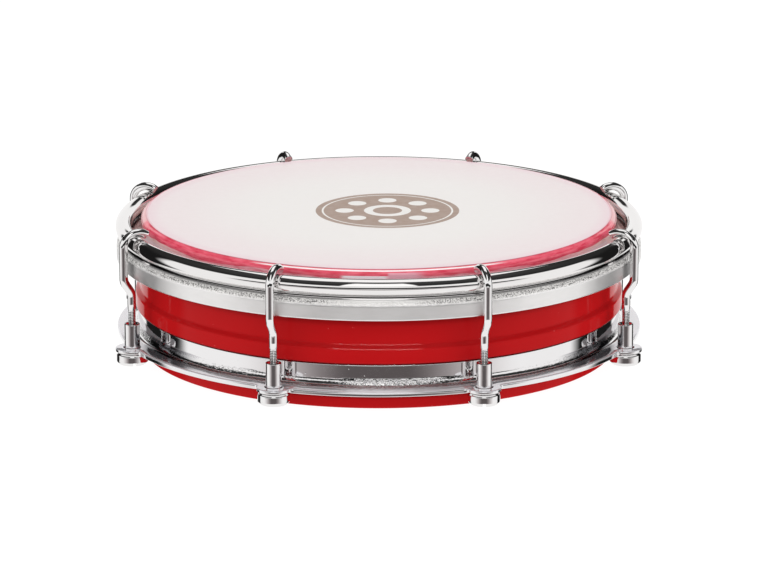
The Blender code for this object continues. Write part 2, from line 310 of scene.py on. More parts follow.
def chrome_rough(t, p, co, base, low, high):
    """Faint staining and fine polishing marks that all the chrome shares."""
    stain = t.noise(co, 45.0, 4.0)
    tone = t.mix(stain, base, rgb(base[0] * 0.93, base[1] * 0.92, base[2] * 0.92))
    t.put(p.inputs["Base Color"], tone)
    p.inputs["Metallic"].default_value = 1.0
    return t.ramp(t.noise(co, 220.0, 3.0), 0.35, 0.75, low, high)


def hoop_metal():
    mat, t, p, co = new_material("hoop_chrome")
    x, y, z = t.split(co)[:3]
    rough = chrome_rough(t, p, co, rgb(0.86, 0.85, 0.845), 0.02, 0.05)
    skirt = t.ramp(z, 0.0332, 0.0340, 1.0, 0.0)
    satin_part = t.math("MULTIPLY", t.ramp(z, 0.0350, 0.0357, 1.0, 0.0), t.ramp(z, 0.0291, 0.0294, 0.0, 1.0))
    satin = t.blend(skirt, 0.24, t.ramp(t.noise(co, 120.0, 2.0), 0.3, 0.7, 0.28, 0.36))
    t.put(p.inputs["Roughness"], t.blend(satin_part, rough, satin))
    t.put(p.inputs["Metallic"], t.blend(satin_part, 1.0, t.blend(skirt, 0.32, 0.85)))
    # painted shade: a dark line in the crease where the rolled bead is folded back on to the shoulder, and a fainter
    # painted dark line below it
    clean = p.inputs["Base Color"].links[0].from_socket
    radius = t.vector("LENGTH", t.join(x, y, 0.0))
    crease_shade = t.math("MULTIPLY", t.band(z, 0.03573, 0.03609, 0.00003), t.ramp(radius, 0.0802, 0.0804))
    faint = t.math("MULTIPLY", t.band(z, 0.03516, 0.03530, 0.00005), t.ramp(radius, 0.0802, 0.0804, 0.0, 0.55))
    # painted light: the shoulder band is paler, as where light from above falls on it
    colour = t.mix(t.math("MULTIPLY", t.band(z, 0.0337, 0.0352, 0.0003), 0.85), clean, rgb(0.97, 0.955, 0.935))
    colour = t.mix(t.math("MAXIMUM", crease_shade, faint), colour, rgb(0.012, 0.011, 0.012))
    # pinholes in the plating on the shoulder
    pinhole = t.math("MULTIPLY", t.ramp(t.noise(co, 2500.0, 2.0, 0.6, 0.2), 0.50, 0.56), t.band(z, 0.0339, 0.0351, 0.0003))
    pinhole = t.math("MULTIPLY", pinhole, t.ramp(t.math("ABSOLUTE", x), 0.009, 0.019, 0.05, 0.90))
    colour = t.mix(pinhole, colour, rgb(0.12, 0.115, 0.115))
    # light smears along the skirt
    turn = t.math("MULTIPLY", t.math("ARCTAN2", y, x), 0.08)
    smear = t.noise(t.join(turn, 0.0, t.math("MULTIPLY", z, 3.0)), 260.0, 3.0, 0.6)
    smear = t.math("MULTIPLY", t.ramp(smear, 0.35, 0.7), t.math("MULTIPLY", skirt, 0.35))
    t.put(p.inputs["Base Color"], t.mix(smear, colour, rgb(0.76, 0.755, 0.74)))
    # orange peel where the skirt turns in to the shoulder
    peel = t.ramp(t.noise(co, 1700.0, 1.0, 0.5, 0.2), 0.32, 0.68)
    soft = t.noise(co, 90.0, 2.0)
    shoulder = t.band(z, 0.0337, 0.0349, 0.0004)
    height = t.math("ADD", t.math("MULTIPLY", peel, shoulder), t.math("MULTIPLY", t.math("MULTIPLY", soft, skirt), 0.35))
    t.put(p.inputs["Normal"], t.bump(height, 0.8, 0.00014))
    return mat


def ring_metal():
    mat, t, p, co = new_material("ring_chrome")
    x, y, z = t.split(co)[:3]
    rough = chrome_rough(t, p, co, rgb(0.87, 0.865, 0.87), 0.03, 0.08)
    t.put(p.inputs["Roughness"], rough)
    radius = t.vector("LENGTH", t.join(x, y, 0.0))
    # the flat of the flange is dull
    flat = t.math("MULTIPLY", t.band(z, 0.0066, 0.0073, 0.0002), t.ramp(radius, 0.0780, 0.0786))
    clean = p.inputs["Base Color"].links[0].from_socket
    tone = t.mix(t.math("MULTIPLY", flat, 0.8), clean, rgb(0.76, 0.76, 0.80))
    # painted reflection: black in the corner of the flange, at both ends of the front, where the chrome mirrors dark
    # surroundings
    side = t.math("ABSOLUTE", x)
    painted_dark_reflection = t.math("MULTIPLY", t.ramp(side, 0.0540, 0.0630), t.ramp(side, 0.0715, 0.0740, 1.0, 0.0))
    painted_dark_reflection = t.math("MULTIPLY", painted_dark_reflection, t.ramp(y, -0.030, -0.026, 1.0, 0.0))
    painted_dark_reflection = t.math("MULTIPLY", painted_dark_reflection, t.math("MULTIPLY", t.band(z, 0.0066, 0.0098, 0.0003), t.ramp(radius, 0.0812, 0.0819, 1.0, 0.0)))
    t.put(p.inputs["Base Color"], t.mix(t.math("MULTIPLY", painted_dark_reflection, 0.85), tone, rgb(0.07, 0.07, 0.085)))
    t.put(p.inputs["Metallic"], t.blend(flat, 1.0, 0.60))
    # hammered wrinkles where the band turns out into the flange
    fold = t.math("MULTIPLY", t.band(z, 0.0075, 0.0091, 0.0004), t.ramp(radius, 0.0772, 0.0778, 1.0, 0.0))
    patch = t.ramp(t.noise(co, 24.0, 1.0), 0.40, 0.58, 0.15, 1.0)
    fold = t.math("MULTIPLY", t.math("MULTIPLY", fold, patch), t.ramp(x, 0.015, 0.040, 0.8, 0.3))
    wrinkle = t.noise(co, 900.0, 2.0, 0.5, 1.4)
    wave = t.noise(co, 65.0, 2.0)
    pit = t.ramp(t.noise(co, 600.0, 1.0), 0.78, 0.82)
    height = t.math("ADD", t.math("MULTIPLY", wrinkle, fold), t.math("ADD", t.math("MULTIPLY", wave, 0.25), t.math("MULTIPLY", pit, 0.06)))
    t.put(p.inputs["Normal"], t.bump(height, 0.7, 0.0005))
    return mat


def hook_metal():
    mat, t, p, co = new_material("hook_chrome")
    x, y, z = t.split(co)[:3]
    t.put(p.inputs["Roughness"], chrome_rough(t, p, co, rgb(0.88, 0.875, 0.875), 0.025, 0.06))
    # painted shade in the roots of the thread
    clean = p.inputs["Base Color"].links[0].from_socket
    lead = t.math("SUBTRACT", t.math("DIVIDE", z, 0.0005), t.math("DIVIDE", t.math("ARCTAN2", y, x), TAU))
    root = t.math("ABSOLUTE", t.math("SUBTRACT", t.math("MULTIPLY", t.math("FRACT", lead), 2.0), 1.0))
    root = t.math("MULTIPLY", t.ramp(root, 0.20, 0.55, 0.75, 0.0), t.band(z, 0.0122, 0.0187, 0.0002))
    t.put(p.inputs["Base Color"], t.mix(root, clean, rgb(0.10, 0.095, 0.095)))
    t.put(p.inputs["Normal"], t.bump(t.noise(co, 420.0, 2.0), 0.14, 0.0003))
    return mat


def nut_metal():
    mat, t, p, co = new_material("nut_chrome")
    x, y, z = t.split(co)[:3]
    t.put(p.inputs["Roughness"], chrome_rough(t, p, co, rgb(0.87, 0.865, 0.865), 0.025, 0.055))
    clean = p.inputs["Base Color"].links[0].from_socket
    painted_dark = t.ramp(z, 0.01443, 0.01457)  # painted reflection: the top end of the sleeve is dark, as where it mirrors the shaded underside of the shell
    t.put(p.inputs["Base Color"], t.mix(painted_dark, clean, rgb(0.20, 0.195, 0.20)))
    t.put(p.inputs["Normal"], t.bump(t.noise(co, 380.0, 2.0), 0.16, 0.0003))
    return mat


def flesh_metal():
    mat, t, p, co = new_material("flesh_aluminium")
    x, y, z = t.split(co)[:3]
    p.inputs["Metallic"].default_value = 1.0
    lines = t.noise(t.join(t.vector("LENGTH", t.join(x, y, 0.0)), 0.0, z), 4200.0, 2.0)
    t.put(p.inputs["Base Color"], t.mix(lines, rgb(0.66, 0.66, 0.67), rgb(0.78, 0.78, 0.79)))
    t.put(p.inputs["Roughness"], t.ramp(lines, 0.2, 0.8, 0.28, 0.42))
    t.put(p.inputs["Normal"], t.bump(lines, 0.15, 0.0001))
    return mat


def film_plastic():
    mat, t, p, co = new_material("milky_polyester")
    x, y, z = t.split(co)[:3]
    radius = t.vector("LENGTH", t.join(x, y, 0.0))

    # milky sheet, with a painted pink glow towards its edge where the red shell's light shows through
    cloud = t.noise(co, 16.0, 3.0)
    centre = t.mix(cloud, rgb(0.880, 0.852, 0.832), rgb(0.895, 0.867, 0.848))
    painted_red_glow = t.math("ADD", t.ramp(radius, 0.034, 0.0715, 0.0, 0.50), t.ramp(radius, 0.0680, 0.0726, 0.0, 0.50))
    sheet = t.mix(painted_red_glow, centre, rgb(0.874, 0.715, 0.750))
    rim = t.ramp(radius, 0.0724, 0.0730)
    sheet = t.mix(rim, sheet, rgb(0.84, 0.56, 0.61))

    # collar: hot pink where the shell stands behind it, paler where it flares; the taupe of the flare is painted
    # light, bright as where light comes through the film in the bead's shade
    turn_by = t.math("ARCTAN2", y, x)
    streak = t.noise(t.join(t.math("MULTIPLY", turn_by, 0.075), 0.0, t.math("MULTIPLY", z, 7.0)), 170.0, 4.0, 0.6)
    block = t.noise(t.join(t.math("MULTIPLY", turn_by, 0.075), 0.0, t.math("MULTIPLY", z, 0.6)), 42.0, 2.0, 0.5)
    hot = t.mix(t.ramp(streak, 0.36, 0.62), rgb(0.72, 0.050, 0.095), rgb(0.88, 0.135, 0.20))
    edge = t.math("ADD", z, t.math("MULTIPLY", t.math("SUBTRACT", block, 0.5), 0.0040))
    side = t.ramp(t.math("ABSOLUTE", y), 0.0105, 0.0150, 1.0, 0.0)
    flank = t.ramp(t.math("ABSOLUTE", y), 0.026, 0.060, 1.0, 0.0)
    low_pink = t.mix(t.ramp(streak, 0.4, 0.6), rgb(0.80, 0.26, 0.32), rgb(0.92, 0.44, 0.50))
    taupe = t.mix(streak, rgb(1.0, 0.58, 0.56), rgb(1.0, 0.80, 0.77))
    flare = t.mix(t.math("MAXIMUM", flank, t.ramp(z, 0.0384, 0.0372)), low_pink, taupe)
    tone = t.mix(t.ramp(edge, 0.0403, 0.0407), flare, hot)
    # painted reflection: the collar is paler at its left and right sides
    pale = t.mix(streak, rgb(0.72, 0.30, 0.32), rgb(0.82, 0.40, 0.42))
    tone = t.mix(t.math("MULTIPLY", side, t.ramp(z, 0.0392, 0.0396)), tone, pale)
    # milky patches where the film lifts from the shell
    lifted = t.math("MULTIPLY", t.ramp(t.noise(co, 27.0, 0.0), 0.585, 0.60), t.band(z, 0.0379, 0.0396, 0.0001))
    tone = t.mix(t.math("MULTIPLY", lifted, 0.85), tone, rgb(0.90, 0.72, 0.76))
    # painted highlight: one long white patch in front, and a paler painted reflection beside it
    front = t.ramp(y, -0.072, -0.070, 1.0, 0.0)
    painted_pale_reflection = t.math("MULTIPLY", t.ramp(x, 0.0022, 0.0034), t.ramp(x, 0.0100, 0.0150, 1.0, 0.0))
    painted_pale_reflection = t.math("MULTIPLY", t.math("MULTIPLY", painted_pale_reflection, front), t.ramp(z, 0.0417, 0.0420, 1.0, 0.0))
    tone = t.mix(t.math("MULTIPLY", painted_pale_reflection, 0.8), tone, rgb(0.84, 0.45, 0.54))
    painted_highlight_patch = t.math("MULTIPLY", t.ramp(x, -0.0122, -0.0100), t.ramp(x, 0.0014, 0.0036, 1.0, 0.0))
    painted_highlight_patch = t.math("MULTIPLY", t.math("MULTIPLY", painted_highlight_patch, front), t.ramp(z, 0.04088, 0.04100, 1.0, 0.0))
    tone = t.mix(painted_highlight_patch, tone, rgb(1.0, 0.90, 0.94))
    # painted highlight along the fold of the edge, with a line of painted shade over it
    fold = t.math("MULTIPLY", t.band(z, 0.04218, 0.04250, 0.00004), t.ramp(radius, 0.0729, 0.0731))
    fold = t.math("MULTIPLY", fold, t.ramp(t.math("ABSOLUTE", y), 0.0625, 0.0670, 0.04, 0.95))
    tone = t.mix(fold, tone, rgb(1.0, 0.95, 0.96))
    painted_dark = t.band(radius, 0.07314, 0.07348, 0.00008)
    painted_dark = t.math("MULTIPLY", painted_dark, t.ramp(t.math("ABSOLUTE", y), 0.045, 0.067, 0.30, 1.0))
    on_collar = t.ramp(radius, 0.07305, 0.07325)
    colour = t.mix(on_collar, sheet, tone)
    colour = t.mix(t.math("MULTIPLY", painted_dark, 0.95), colour, rgb(0.34, 0.15, 0.18))

    # printed disc with a plain pattern of a ring and eight dots
    px = t.math("SUBTRACT", x, 0.0027)
    pr = t.vector("LENGTH", t.join(px, y, 0.0))
    edge_w = 0.00006

    def inside(value, limit):
        return t.ramp(value, limit - edge_w, limit + edge_w, 1.0, 0.0)

    top = t.ramp(z, 0.0426, 0.04265)
    disc = t.math("MULTIPLY", inside(pr, 0.0226), top)
    turn = t.math("ARCTAN2", y, px)
    sector = TAU / 8.0
    local = t.math("WRAP", turn, sector / 2.0, -sector / 2.0)
    lx = t.math("SUBTRACT", t.math("MULTIPLY", pr, t.math("COSINE", local)), 0.0135)
    ly = t.math("MULTIPLY", pr, t.math("SINE", local))
    dot = inside(t.vector("LENGTH", t.join(lx, ly, 0.0)), 0.0029)
    ring = t.math("MULTIPLY", inside(pr, 0.0074), t.ramp(pr, 0.0046 - edge_w, 0.0046 + edge_w))
    rim_line = t.math("MULTIPLY", inside(pr, 0.0207), t.ramp(pr, 0.0201 - edge_w, 0.0201 + edge_w))
    mark = t.math("MAXIMUM", t.math("MAXIMUM", dot, ring), rim_line)
    ink_grain = t.noise(co, 700.0, 3.0)
    ink = t.mix(ink_grain, rgb(0.375, 0.262, 0.205), rgb(0.405, 0.285, 0.225))
    ink = t.mix(mark, ink, rgb(0.88, 0.86, 0.83))
    colour = t.mix(disc, colour, ink)
    t.put(p.inputs["Base Color"], colour)

    fine = t.noise(co, 420.0, 4.0)
    matt = t.ramp(fine, 0.3, 0.7, 0.30, 0.42)
    t.put(p.inputs["Roughness"], t.blend(on_collar, matt, t.ramp(streak, 0.3, 0.7, 0.07, 0.12)))
    p.inputs["IOR"].default_value = 1.5
    p.inputs["Coat Weight"].default_value = 0.0
    height = t.math("ADD", t.math("MULTIPLY", fine, 0.10), t.math("MULTIPLY", streak, t.math("MULTIPLY", on_collar, 0.2)))
    t.put(p.inputs["Normal"], t.bump(height, 0.35, 0.0003))
    return mat


RED = red_plastic()
HOOP = hoop_metal()
RING = ring_metal()
HOOK = hook_metal()
NUT = nut_metal()
FLESH = flesh_metal()
FILM = film_plastic()

# ---------------------------------------------------------------------- shell
shell_profile = rounded(
    [
        (72.0, -0.5, 0.5),
        (74.6, -0.5, 0.6),
        (74.6, 13.9, 0.12),
        (76.8, 13.9, 0.45),
        (76.8, 18.5, 0.9),
        (75.5, 19.85, 0.9),
        (75.5, 35.5, 0.8),
        (74.25, 37.7, 0.8),
        (74.25, 42.15, 1.5),
        (72.5, 42.15, 0.3),
        (72.0, 40.4, 0.5),
    ]
)
piece("shell_turned", lathe("shell_turned", even(shell_profile)), RED, "shell_assembly", "shell")

# --------------------------------------------------------------- tension ring
FLANGE_R, EAR_R, EAR_FILLET = 82.6, 5.25, 1.4
LOW_Z, HIGH_Z, LIP = 5.8, 7.0, 0.4


def flange_outline(inset):
    """Outline of the flange with its eight ears, moved inwards by inset."""
    R, r, f = FLANGE_R - inset, EAR_R - inset, EAR_FILLET + inset
    reach, gap = R + f, r + f
    fx = (reach**2 - gap**2 + LUG_R**2) / (2.0 * LUG_R)
    fy = math.sqrt(reach**2 - fx**2)
    root = math.atan2(fy, fx)
    turn = math.atan2(fy, fx - LUG_R)
    half = math.pi / LUGS
    start = math.atan2(-fy, -fx)
    end = math.atan2(-fy, LUG_R - fx)
    sector = []
    n_flange, n_fillet, n_ear = 18, 8, 30
    for k in range(n_flange):
        a = -half + (half - root) * k / n_flange
        sector.append((R * math.cos(a), R * math.sin(a)))
    fillet = []
    for k in range(n_fillet + 1):
        a = start + (end - start) * k / n_fillet
        fillet.append((fx + f * math.cos(a), fy + f * math.sin(a)))
    sector += [(x, -y) for x, y in fillet]
    for k in range(1, n_ear):
        a = -turn + 2.0 * turn * k / n_ear
        sector.append((LUG_R + r * math.cos(a), r * math.sin(a)))
    sector += fillet[::-1]
    for k in range(1, n_flange):
        a = root + (half - root) * k / n_flange
        sector.append((R * math.cos(a), R * math.sin(a)))
    out = []
    for i in range(LUGS):
        c, s = math.cos(lug_angle(i)), math.sin(lug_angle(i))
        out += [(x * c - y * s, x * s + y * c) for x, y in sector]
    return out


def tension_ring_mesh():
    bm = bmesh.new()

    def loop(points, z):
        heights = z if isinstance(z, list) else [z] * len(points)
        vs = [bm.verts.new((x * MM, y * MM, h * MM)) for (x, y), h in zip(points, heights)]
        es = [bm.edges.new((vs[k], vs[(k + 1) % len(vs)])) for k in range(len(vs))]
        return vs, es

    def wall(a, b):
        for k in range(len(a)):
            j = (k + 1) % len(a)
            bm.faces.new((a[k], a[j], b[j], b[k]))

    def circle(cx, cy, r, n, start=0.0):
        return [(cx + r * math.cos(start + TAU * k / n), cy + r * math.sin(start + TAU * k / n)) for k in range(n)]

    section = rounded(
        [
            (80.0, HIGH_Z, 0.0),
            (76.1, HIGH_Z, 1.9),
            (76.1, 13.6, 0.35),
            (74.9, 13.6, 0.2),
            (74.9, LOW_Z, 1.1),
            (79.0, LOW_Z, 0.0),
        ],
        steps=8,
    )
    section = section[:1] + even(section[1:-1], closed=False) + section[-1:]
    rings = [loop(circle(0, 0, r, SEGMENTS), z) for r, z in section]
    for (a, _), (b, _) in zip(rings, rings[1:]):
        wall(a, b)
    bevel = 0.36
    outer = []
    for k in range(9):
        a = -math.pi / 2.0 + math.pi * k / 8.0
        inset = bevel * (1.0 - math.cos(a))
        outline = flange_outline(inset)
        # the edge between the ears is turned down a little further
        if a < 0.0:
            dip = [LIP * min(1.0, max(0.0, (FLANGE_R + 0.9 - inset - math.hypot(x, y)) / 0.9)) for x, y in outline]
            z = [LOW_Z - d + bevel + bevel * math.sin(a) for d in dip]
        else:
            z = HIGH_Z - bevel + bevel * math.sin(a)
        outer.append(loop(outline, z))
    for (a, _), (b, _) in zip(outer, outer[1:]):
        wall(a, b)
    top = list(rings[0][1]) + list(outer[-1][1])
    low = list(rings[-1][1]) + list(outer[0][1])
    for i in range(LUGS):
        t = lug_angle(i)
        cx, cy = LUG_R * math.cos(t), LUG_R * math.sin(t)
        hole = [
            loop(circle(cx, cy, 2.86, 40, t), HIGH_Z),
            loop(circle(cx, cy, 2.72, 40, t), HIGH_Z - 0.15),
            loop(circle(cx, cy, 2.72, 40, t), LOW_Z + 0.15),
            loop(circle(cx, cy, 2.86, 40, t), LOW_Z),
        ]
        for (a, _), (b, _) in zip(hole, hole[1:]):
            wall(a, b)
        top += hole[0][1]
        low += hole[-1][1]
    bmesh.ops.triangle_fill(bm, edges=top, use_beauty=True, normal=(0, 0, 1))
    bmesh.ops.triangle_fill(bm, edges=low, use_beauty=True, normal=(0, 0, -1))
    bmesh.ops.recalc_face_normals(bm, faces=list(bm.faces))
    mesh = bpy.data.meshes.new("ring_pressed")
    bm.to_mesh(mesh)
    bm.free()
    # flat faces keep their own normals beside the rounded edges
    mesh.shade_smooth()
    mesh.set_sharp_from_angle(angle=math.radians(28.0))
    return mesh


piece("ring_pressed", tension_ring_mesh(), RING, "shell_assembly", "tension_ring")

# --------------------------------------------------------------- counter hoop
outside = rounded(
    [
        (81.35, 31.0, 0.0),
        (81.35, 28.9, 0.25),
        (82.6, 28.9, 0.5),
        (82.6, 33.75, 2.2),
        (80.95, 36.0, 0.2),
        (81.1, 36.6, 0.0),
    ],
    steps=8,
)[1:-1]
hoop_profile = (
    outside
    + arc(80.25, 38.8, 2.65, -72.0, 250.0, 44)
    + [(79.6, 35.85), (79.8, 35.35), (80.2, 35.2), (80.85, 34.2), (81.25, 33.2), (81.35, 31.5)]
)
piece("hoop_rolled", lathe("hoop_rolled", even(hoop_profile), segments=384), HOOP, "head_assembly", "counter_hoop")

# ----------------------------------------------------------------- flesh hoop
flesh_profile = rounded(
    [
        (77.5, 30.0, 0.5),
        (80.7, 30.0, 0.5),
        (80.7, 33.5, 0.6),
        (80.1, 34.8, 0.15),
        (79.85, 34.8, 0.1),
        (80.0, 33.6, 0.4),
        (80.0, 30.7, 0.3),
        (78.2, 30.7, 0.3),
        (78.2, 34.3, 0.2),
        (77.5, 34.3, 0.2),
    ],
    steps=4,
)
piece("flesh_hoop_formed", lathe("flesh_hoop_formed", flesh_profile, segments=192), FLESH, "head_assembly", "flesh_hoop")

# ------------------------------------------------------------- drumhead film
skin = (
    [(0.0, 42.75)]
    + [(r, 42.75) for r in (8.0, 16.0, 24.0, 32.0, 40.0, 48.0, 56.0, 62.0, 67.0, 69.5, 71.6, 72.5)]
    + arc(72.9, 40.75, 2.0, 90.0, 0.0, 14)
    + [(74.91, 40.4), (74.93, 39.9), (74.99, 39.4), (75.12, 38.9), (75.34, 38.4), (75.66, 37.9), (76.06, 37.4), (76.52, 36.9), (77.05, 36.42),
       (77.62, 35.95), (78.15, 35.45), (78.55, 34.9), (78.85, 34.3), (79.02, 33.7), (79.1, 33.1), (79.13, 32.3), (79.15, 31.4)]
)
film_rows = []
for k, (r, z) in enumerate(skin):
    a, b = skin[max(k - 1, 0)], skin[min(k + 1, len(skin) - 1)]
    length = math.hypot(b[0] - a[0], b[1] - a[1])
    film_rows.append((max(r + 0.3 * (b[1] - a[1]) / length, 0.0), z - 0.3 * (b[0] - a[0]) / length))
film_rows[0] = (0.0, 42.45)


def film_shape(th, r, z):
    """Slight waves round the collar, as a head has once it is tuned."""
    depth = np.clip((41.5 - z) / 4.0, 0.0, 1.0) * np.clip((z - 33.0) / 3.0, 0.0, 1.0)
    wave = 0.05 * np.sin(37.0 * th + 0.6) + 0.04 * np.sin(61.0 * th + 2.0) + 0.03 * np.sin(23.0 * th)
    return r + depth * wave, z


film_mesh = lathe("head_film", skin + film_rows[::-1], segments=SEGMENTS, closed=False, shape=film_shape, sharp=60.0)
piece("head_film", film_mesh, FILM, "head_assembly", "drumhead_film")


# -------------------------------------------------------------------- hooks
def hook_mesh():
    """Bent wire with a rolled thread, in one lug's own frame."""
    leg, jog_low, jog_top, thread_top, end = 2.5, 23.1, 29.1, 18.9, 4.9
    sides = 28
    path = []  # x, z, radius, thread depth
    step = 0.5 / 8.0
    n = int((thread_top - 12.0) / step)
    path += [(0.0, end, 0.75, 0.0), (0.0, end + 0.15, 0.97, 0.0), (0.0, end + 0.4, 1.1, 0.0), (0.0, 11.9, 1.1, 0.0)]
    for k in range(n + 1):
        z = 12.0 + (thread_top - 12.0) * k / n
        fade = min(1.0, (thread_top - z) / 0.6, (z - 12.0) / 0.3)
        path.append((0.0, z, 1.13, max(0.0, 0.17 * fade)))
    path += [(0.0, thread_top + 0.2, 1.2, 0.0), (0.0, thread_top + 0.5, 1.31, 0.0), (0.0, 21.0, 1.33, 0.0), (0.0, 22.6, 1.34, 0.0)]
    for k in range(25):
        t = k / 24.0
        b = t * t * t * (t * (6.0 * t - 15.0) + 10.0) * 0.4 + t * t * (3.0 - 2.0 * t) * 0.6
        swell = 1.0 + 0.035 * math.sin(math.pi * t)
        path.append((leg * b, jog_low + (jog_top - jog_low) * t, 1.35 * swell, 0.0))
    path += [(leg, 30.0, 1.35, 0.0), (leg, 31.5, 1.35, 0.0), (leg, 34.5, 1.35, 0.0), (leg, 37.0, 1.35, 0.0)]
    path += [(x, z, 1.35, 0.0) for x, z in arc(-2.3, 38.8, 4.8, 0.0, 126.0, 42, rz=4.35)]
    pts = np.array([(x, z) for x, z, _, _ in path])
    tang = np.gradient(pts, axis=0)
    tang /= np.linalg.norm(tang, axis=1)[:, None]
    rows = []
    a = np.arange(sides) * TAU / sides

    def ring(x, z, tx, tz, r, depth):
        rr = np.full(sides, r)
        if depth > 0.0:
            phase = (z / 0.5 - a / TAU) % 1.0
            rr = r + depth * (np.abs(2.0 * phase - 1.0) - 0.5)
        nx, nz = tz, -tx  # in-plane normal
        return np.stack([x + rr * np.cos(a) * nx, rr * np.sin(a), z + rr * np.cos(a) * nz], axis=1)

    for (x, z, r, depth), (tx, tz) in zip(path, tang):
        rows.append(ring(x, z, tx, tz, r, depth))
    x, z, r, _ = path[-1]
    tx, tz = tang[-1]
    for out, rr in ((0.08, 1.31), (0.16, 1.20), (0.21, 0.95)):
        rows.append(ring(x + tx * out, z + tz * out, tx, tz, rr, 0.0))
    return smooth(grid_mesh("hook_wire", rows, False, caps=(True, True)), 60.0)


# -------------------------------------------------------------- tuning nuts
def nut_mesh():
    profile = rounded(
        [
            (0.0, 1.8, 0.0),
            (4.2, 1.8, 0.45),
            (4.95, 2.65, 0.7),
            (4.93, 4.85, 0.55),
            (4.35, 5.45, 0.25),
            (2.95, 5.45, 0.3),
            (2.42, 5.95, 0.25),
            (2.42, 14.6, 0.3),
            (1.95, 14.6, 0.12),
            (1.42, 14.0, 0.2),
            (1.42, 4.2, 0.1),
            (0.0, 4.2, 0.0),
        ],
        steps=5,
    )
    ob = bpy.data.objects.new("nut_blank", lathe("nut_blank", even(profile, closed=False), segments=72, closed=False))
    bpy.context.scene.collection.objects.link(ob)
    bm = bmesh.new()
    bmesh.ops.create_cube(bm, size=1.0)
    for v in bm.verts:
        v.co.x *= 14.0 * MM
        v.co.y *= 1.05 * MM
        v.co.z = (3.0 if v.co.z > 0 else 0.3) * MM
    cut_mesh = bpy.data.meshes.new("slot_cut")
    bm.to_mesh(cut_mesh)
    bm.free()
    cutter = bpy.data.objects.new("slot_cut", cut_mesh)
    bpy.context.scene.collection.objects.link(cutter)
    mod = ob.modifiers.new("slot", "BOOLEAN")
    mod.operation, mod.solver, mod.object = "DIFFERENCE", "EXACT", cutter
    bpy.context.view_layer.update()
    mesh = bpy.data.meshes.new_from_object(ob.evaluated_get(bpy.context.evaluated_depsgraph_get()))
    mesh.name = "nut_turned"
    bpy.data.objects.remove(ob)
    bpy.data.objects.remove(cutter)
    return smooth(mesh, 35.0)


hook_shape = hook_mesh()
nut_shape = nut_mesh()
SLOT_FIRST, SLOT_STEP = -22.5, 47.0
for i in range(LUGS):
    t = lug_angle(i)
    at = Matrix.Translation((LUG_R * MM * math.cos(t), LUG_R * MM * math.sin(t), 0.0)) @ Matrix.Rotation(t, 4, "Z")
    piece(f"hook_wire_{i + 1}", hook_shape, HOOK, "head_assembly", f"tension_hook_{i + 1}", at)
    turned = at @ Matrix.Rotation(math.radians(SLOT_FIRST + SLOT_STEP * i), 4, "Z")
    piece(f"nut_turned_{i + 1}", nut_shape, NUT, f"nut_{i + 1}", f"tuning_nut_{i + 1}", turned)

# ------------------------------------------------------------ floor and light
floor_mesh = bpy.data.meshes.new("floor")
floor_mesh.from_pydata([(-6, -6, 0), (6, -6, 0), (6, 6, 0), (-6, 6, 0)], [], [(0, 1, 2, 3)])
floor = bpy.data.objects.new("floor", floor_mesh)
floor.location = (0.0, 0.0, -0.0001)
bpy.context.scene.collection.objects.link(floor)
fmat, ft, fp, _ = new_material("pale_floor")
fp.inputs["Base Color"].default_value = rgb(0.12, 0.12, 0.12)
fp.inputs["Roughness"].default_value = 0.9
fp.inputs["Emission Color"].default_value = rgb(1.0, 1.0, 1.0)
fp.inputs["Emission Strength"].default_value = 0.95
# the floor is only there from above, so the underside can be looked at
from_below = ft.node("ShaderNodeNewGeometry").outputs["Backfacing"]
clear = ft.node("ShaderNodeBsdfTransparent")
one_sided = ft.node("ShaderNodeMixShader")
ft.put(one_sided.inputs[0], from_below)
floor_out = next(n for n in fmat.node_tree.nodes if n.type == "OUTPUT_MATERIAL")
ft.links.new(fp.outputs[0], one_sided.inputs[1])
ft.links.new(clear.outputs[0], one_sided.inputs[2])
ft.links.new(one_sided.outputs[0], floor_out.inputs["Surface"])
floor_mesh.materials.append(fmat)
floor.visible_glossy = False  # the studio's lower half is what the chrome shows


